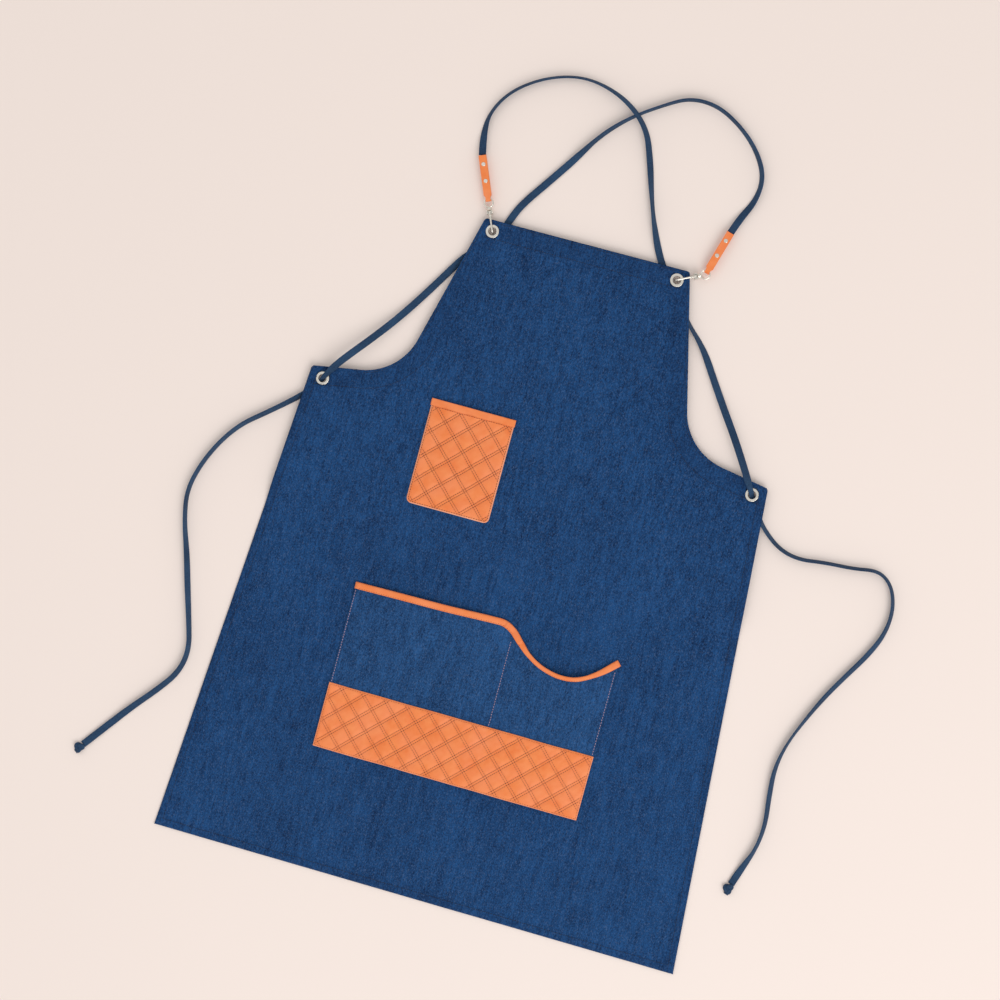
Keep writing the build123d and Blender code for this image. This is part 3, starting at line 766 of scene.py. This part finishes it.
def make_lower_pocket():
    columns, rows = 233, 121
    verts, zone = [], []
    for r in range(rows):
        for c in range(columns):
            x = POCKET_LEFT + (POCKET_RIGHT - POCKET_LEFT) * c / (columns - 1)
            y = POCKET_BOTTOM + (mouth_y(x) - POCKET_BOTTOM) * r / (rows - 1)
            verts.append(at(x, y, pocket_surface(x, y)))
            gap = min(x - POCKET_LEFT, POCKET_RIGHT - x, abs(x - DIVIDER_X) + 1.0)
            zone.append(0.8 * (1 - smooth(0.5, 3.5, gap)))
    pocket = piece("lower_pocket_denim", verts, grid_faces(rows, columns), denim_pocket)
    set_attribute(pocket, "zone", zone)
    thicken(pocket, DENIM_THICKNESS)
    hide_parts("lower_pocket_panel")
    seams = [[(POCKET_LEFT + 2.2, BAND_TOP + 1), (POCKET_LEFT + 2.2, 362)],
             [(POCKET_RIGHT - 2.2, BAND_TOP + 1), (POCKET_RIGHT - 2.2, 350)],
             [(DIVIDER_X, BAND_TOP + 1), (DIVIDER_X - 0.5, 352)]]
    stitches("lower_pocket_seam_stitches", seams, pocket_surface, thread_pale, pitch=3.4,
             radius=0.46)
    return pocket


def binding_width(x):
    """The binding turns up where the scooped mouth gapes, so less of its face shows there."""
    return 8.6 - 3.2 * smooth(40, 70, x) * (1 - smooth(140, 172, x))


def make_binding():
    """A leather strip folded over the mouth's edge: a U moved along the mouth."""
    line = [Vector((p.x, p.y)) for p in MOUTH_LINE]
    verts = []
    for i, p in enumerate(line):
        before, after = line[max(0, i - 1)], line[min(len(line) - 1, i + 1)]
        along = (after - before).normalized()
        out = Vector((-along.y, along.x))
        wide = binding_width(p.x)
        base = pocket_surface(p.x, p.y)
        front, back = base + 1.25, base - DENIM_THICKNESS - 0.9
        middle = (front + back) / 2
        section = [(-0.5, base + 0.15), (-0.5, front - 0.3), (-0.42, front), (0.2, front + 0.15),
                   (0.42, front - 0.1), (0.5, middle + 0.5), (0.5, middle - 0.5), (0.42, back + 0.1),
                   (-0.3, back), (-0.4, back + 0.45), (-0.4, back + 0.75), (0.0, back + 0.8)]
        for share, z in section:
            q = p + out * (share * wide)
            verts.append(at(q.x, q.y, max(z, cloth_base(q.x, q.y) + 0.05)))
    faces, ring = [], len(section)
    for i in range(len(line) - 1):
        for k in range(ring):
            a, b = i * ring + k, i * ring + (k + 1) % ring
            faces.append((a, b, b + ring, a + ring))
    faces.append(tuple(range(ring - 1, -1, -1)))
    faces.append(tuple((len(line) - 1) * ring + k for k in range(ring)))
    binding = piece("pocket_mouth_binding", verts, faces, leather)
    set_attribute(binding, "groove_shade", [0.0] * len(verts))
    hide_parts("lower_pocket_binding")
    lines = []
    for i in range(1, len(line) - 1):
        along = (line[i + 1] - line[i - 1]).normalized()
        lines.append(line[i] - Vector((-along.y, along.x)) * (binding_width(line[i].x) * 0.36))

    def face(x, y):
        return pocket_surface(x, min(y, mouth_y(x))) + 1.3

    stitches("binding_stitches", [[(p.x, p.y) for p in lines]], face, thread_tan, radius=0.22,
             length=1.9)


def band_surface(x, y):
    puff, _ = quilt(x, y, BAND_ORIGIN, BAND_PITCH)
    inset = min(x - POCKET_LEFT, POCKET_RIGHT - x, y - POCKET_BOTTOM, BAND_TOP - y)
    return pocket_surface(x, y) + LEATHER_THICKNESS + 0.1 + 0.95 * puff * smooth(0.8, 4.0, inset)


def make_base_band():
    columns, rows = 291, 71
    verts, groove_shade, raw = [], [], []
    for r in range(rows):
        for c in range(columns):
            x = POCKET_LEFT + (POCKET_RIGHT - POCKET_LEFT) * c / (columns - 1)
            y = POCKET_BOTTOM + (BAND_TOP - POCKET_BOTTOM) * r / (rows - 1)
            wobble = 0.5 * noise.noise(Vector((x * 0.02, y * 0.02, 1.0)))
            gap = min(x - POCKET_LEFT, POCKET_RIGHT - x, y - POCKET_BOTTOM)
            raw.append(0.5 * (1 - smooth(0.4, 1.3, gap)))
            verts.append(at(x, y + wobble, band_surface(x, y)))
            # Weight of the painted shade along the quilted grooves.
            groove_shade.append(0.8 * quilt(x, y, BAND_ORIGIN, BAND_PITCH)[1])
    band = piece("pocket_base_leather", verts, grid_faces(rows, columns), leather,
                 edge=leather_edge)
    set_attribute(band, "groove_shade", groove_shade)
    set_attribute(band, "raw_edge", raw)
    thicken(band, LEATHER_THICKNESS, 1)
    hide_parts("lower_pocket_base_band")

    def keep(x, y):
        return POCKET_LEFT + 2.6 < x < POCKET_RIGHT - 2.6 and POCKET_BOTTOM + 2.6 < y < BAND_TOP - 2.6

    lines = lattice_lines((POCKET_LEFT, POCKET_BOTTOM), (POCKET_RIGHT, BAND_TOP), BAND_ORIGIN, BAND_PITCH,
                          keep)
    stitches("band_quilt_stitches", lines, band_surface, thread_dark, pitch=3.0, length=2.3,
             radius=0.22)
    left, right, low, high = POCKET_LEFT + 1.8, POCKET_RIGHT - 1.8, POCKET_BOTTOM + 1.8, BAND_TOP - 1.8
    corners = [(left, high), (left, low), (right, low), (right, high), (left, high)]
    border = [[a, b] for a, b in zip(corners, corners[1:])]
    stitches("band_border_stitches", border, band_surface, thread_tan, radius=0.26)


lower_pocket = make_lower_pocket()
make_binding()
make_base_band()


# Straps


# The knot: a trefoil of webbing, in millimetres, and its tail as (x, y, z, half width)
KNOT_SIDES, KNOT_STEPS = 10, 72
KNOT_LONG, KNOT_WIDE, KNOT_OUT, KNOT_UP, KNOT_WEAVE = 1.75, 1.55, 6.6, 3.4, 1.35
KNOT_BAND_WIDE, KNOT_BAND_THICK = 2.5, 1.45
KNOT_TAIL = [(9, 0.5, 3.4, 3.2), (12, 1.0, 2.4, 3.4), (14.6, 1.6, 1.2, 2.8)]
KNOT_TAIL_HALF, KNOT_LOWEST = 0.6, 0.25


def make_knot(side, end, heading):
    """The webbing's free end, tied in a small overhand knot with a short tail."""
    turn = math.atan2(heading.y, heading.x)
    path = []
    for i in range(KNOT_STEPS + 1):
        a = math.tau * i / KNOT_STEPS
        path.append(Vector(((math.sin(a) + 2 * math.sin(2 * a)) * KNOT_LONG + KNOT_OUT,
                            (math.cos(a) - 2 * math.cos(2 * a)) * KNOT_WIDE,
                            KNOT_UP - KNOT_WEAVE * math.sin(3 * a))))
    verts, faces, ring = [], [], KNOT_SIDES
    for i in range(KNOT_STEPS):
        along = (path[(i + 1) % KNOT_STEPS] - path[i - 1]).normalized()
        side_way = along.cross(Vector((0, 0, 1))).normalized()
        up = side_way.cross(along)
        for k in range(ring):
            a = math.tau * k / ring
            p = path[i] + side_way * KNOT_BAND_WIDE * math.cos(a) + up * KNOT_BAND_THICK * math.sin(a)
            verts.append(p)
    for i in range(KNOT_STEPS):
        for k in range(ring):
            a, b = i * ring + k, i * ring + (k + 1) % ring
            j = ((i + 1) % KNOT_STEPS) * ring
            faces.append((a, b, j + (k + 1) % ring, j + k))
    start, thick = len(verts), KNOT_TAIL_HALF
    for x, y, z, half in KNOT_TAIL:
        for dy, dz in ((-half, -thick), (half, -thick), (half, thick), (-half, thick)):
            verts.append(Vector((x, y + dy, z + dz)))
    for i in range(2):
        for k in range(4):
            a, b = start + i * 4 + k, start + i * 4 + (k + 1) % 4
            faces.append((a, b, b + 4, a + 4))
    faces.append((start + 3, start + 2, start + 1, start))
    faces.append((start + 8, start + 9, start + 10, start + 11))
    spin = Matrix.Rotation(turn, 3, "Z")
    placed = [end + (spin @ Vector((v.x, v.y, max(v.z, KNOT_LOWEST)))) * MM for v in verts]
    knot = piece("strap_knot_webbing_" + side, placed, faces, webbing)
    uv = knot.data.uv_layers.new(name="UVMap")
    for loop in knot.data.loops:
        co = verts[loop.vertex_index]
        uv.data[loop.index].uv = (co.x * 0.25, co.y * 0.25)
    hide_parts("strap_knot_" + side)
    return knot


def make_strap(side, route):
    end_x, end_y = TAB_ENDS[side]
    control = [at(end_x, end_y, LEVEL)] + [at(*p) for p in route]
    line = resample(spline_points(control), 1.6 * MM)
    total = len(line) - 1
    half_width, half_thick = STRAP_WIDTH / 2, STRAP_THICKNESS / 2
    section = [(-1, -0.5), (-0.94, -1), (-0.4, -1), (0.4, -1), (0.94, -1), (1, -0.5), (1, 0.5), (0.94, 1),
               (0.4, 1), (-0.4, 1), (-0.94, 1), (-1, 0.5)]
    eyelet = EYELETS["waist_right" if side == "left" else "waist_left"]
    verts, path, uvs, travelled = [], [], [], 0.0
    for i, p in enumerate(line):
        along = (line[min(total, i + 1)] - line[max(0, i - 1)]).normalized()
        travelled += (p - line[i - 1]).length if i else 0.0
        twist = math.radians(interpolate(TWISTS[side], i / total))
        lift = max(0.0, (half_width * abs(math.sin(twist)) + 0.75) * MM - p.z)
        p = p + Vector((0, 0, lift))
        flat = along.cross(Vector((0, 0, 1))).normalized()
        up = flat.cross(along).normalized()
        across = flat * math.cos(twist) + up * math.sin(twist)
        normal = up * math.cos(twist) - flat * math.sin(twist)
        near = (Vector((p.x, p.y)) - at(*eyelet).to_2d()).length / MM
        narrow = 1 - 0.26 * (1 - smooth(4, 22, near))
        path.append(p)
        for u, v in section:
            verts.append(p + (across * u * half_width * narrow + normal * v * half_thick) * MM)
            uvs.append((travelled / MM * 0.22, u * 0.9))
    ring = len(section)
    faces = []
    for i in range(total):
        for k in range(ring):
            a, b = i * ring + k, i * ring + (k + 1) % ring
            faces.append((a, b, b + ring, a + ring))
    faces.append(tuple(range(ring - 1, -1, -1)))
    faces.append(tuple(total * ring + k for k in range(ring)))
    ribbon = piece("strap_webbing_" + side, verts, faces, webbing, body=None)
    uv = ribbon.data.uv_layers.new(name="UVMap")
    for loop in ribbon.data.loops:
        uv.data[loop.index].uv = uvs[loop.vertex_index]
    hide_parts("strap_" + side)
    tip = path[-1].copy()
    tip.z = 0.0
    knot = make_knot(side, tip, line[-1] - line[-3])
    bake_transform(ribbon)


make_strap("left", STRAP_LEFT_ROUTE)
make_strap("right", STRAP_RIGHT_ROUTE)


# The design's own pieces keep their shapes and get their finish

FINISHES = {"eyelet": nickel, "hook_body": nickel, "gate_lever": nickel, "swivel_eye": nickel,
            "rivet": nickel, "gate_pin": steel, "gate_spring": steel, "leather_tab": leather, "strap_end": webbing,
            "top_facing": denim_inside, "armhole_facing": denim_inside}


def finish_nodes():
    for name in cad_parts:
        thing = bpy.data.objects.get(name)
        material = next((m for key, m in FINISHES.items() if name.startswith(key)), None)
        if thing is None or material is None:
            continue
        if thing.material_slots:
            for slot in thing.material_slots:
                slot.material = material
        else:
            thing.data.materials.append(material)


finish_nodes()


# Floor, light and air


def make_stage():
    mesh = bpy.data.meshes.new("floor")
    size = 6.0
    low = -0.0004
    mesh.from_pydata([(-size, -size, low), (size, -size, low), (size, size, low), (-size, size, low)],
                     [], [(0, 1, 2, 3)])
    n = Nodes("floor")
    cloud = n.noise((1.0, 1.0, 1.0), 1.6, 2.0)
    n.link(n.mix(cloud, (0.93, 0.815, 0.755), (0.91, 0.80, 0.745)), "Base Color")
    n.shader.inputs["Roughness"].default_value = 0.9
    mesh.materials.append(n.material)
    floor = bpy.data.objects.new("floor", mesh)
    bpy.context.collection.objects.link(floor)
    lights = (("key", (2.1, -2.0, 3.2), 3.0, 76.0), ("fill", (-1.4, 1.2, 2.4), 2.2, 5.0))
    for name, place, size, power in lights:
        data = bpy.data.lights.new(name, "AREA")
        data.size = size
        data.energy = power
        light = bpy.data.objects.new(name, data)
        light.location = place
        light.rotation_euler = (-Vector(place)).to_track_quat("-Z", "Y").to_euler()
        bpy.context.collection.objects.link(light)
    world = bpy.data.worlds.new("air")
    world.use_nodes = True
    world.node_tree.nodes["Background"].inputs["Color"].default_value = (1.0, 0.985, 0.97, 1.0)
    world.node_tree.nodes["Background"].inputs["Strength"].default_value = 0.68
    bpy.context.scene.world = world
    bpy.context.scene.view_settings.view_transform = "Standard"


make_stage()
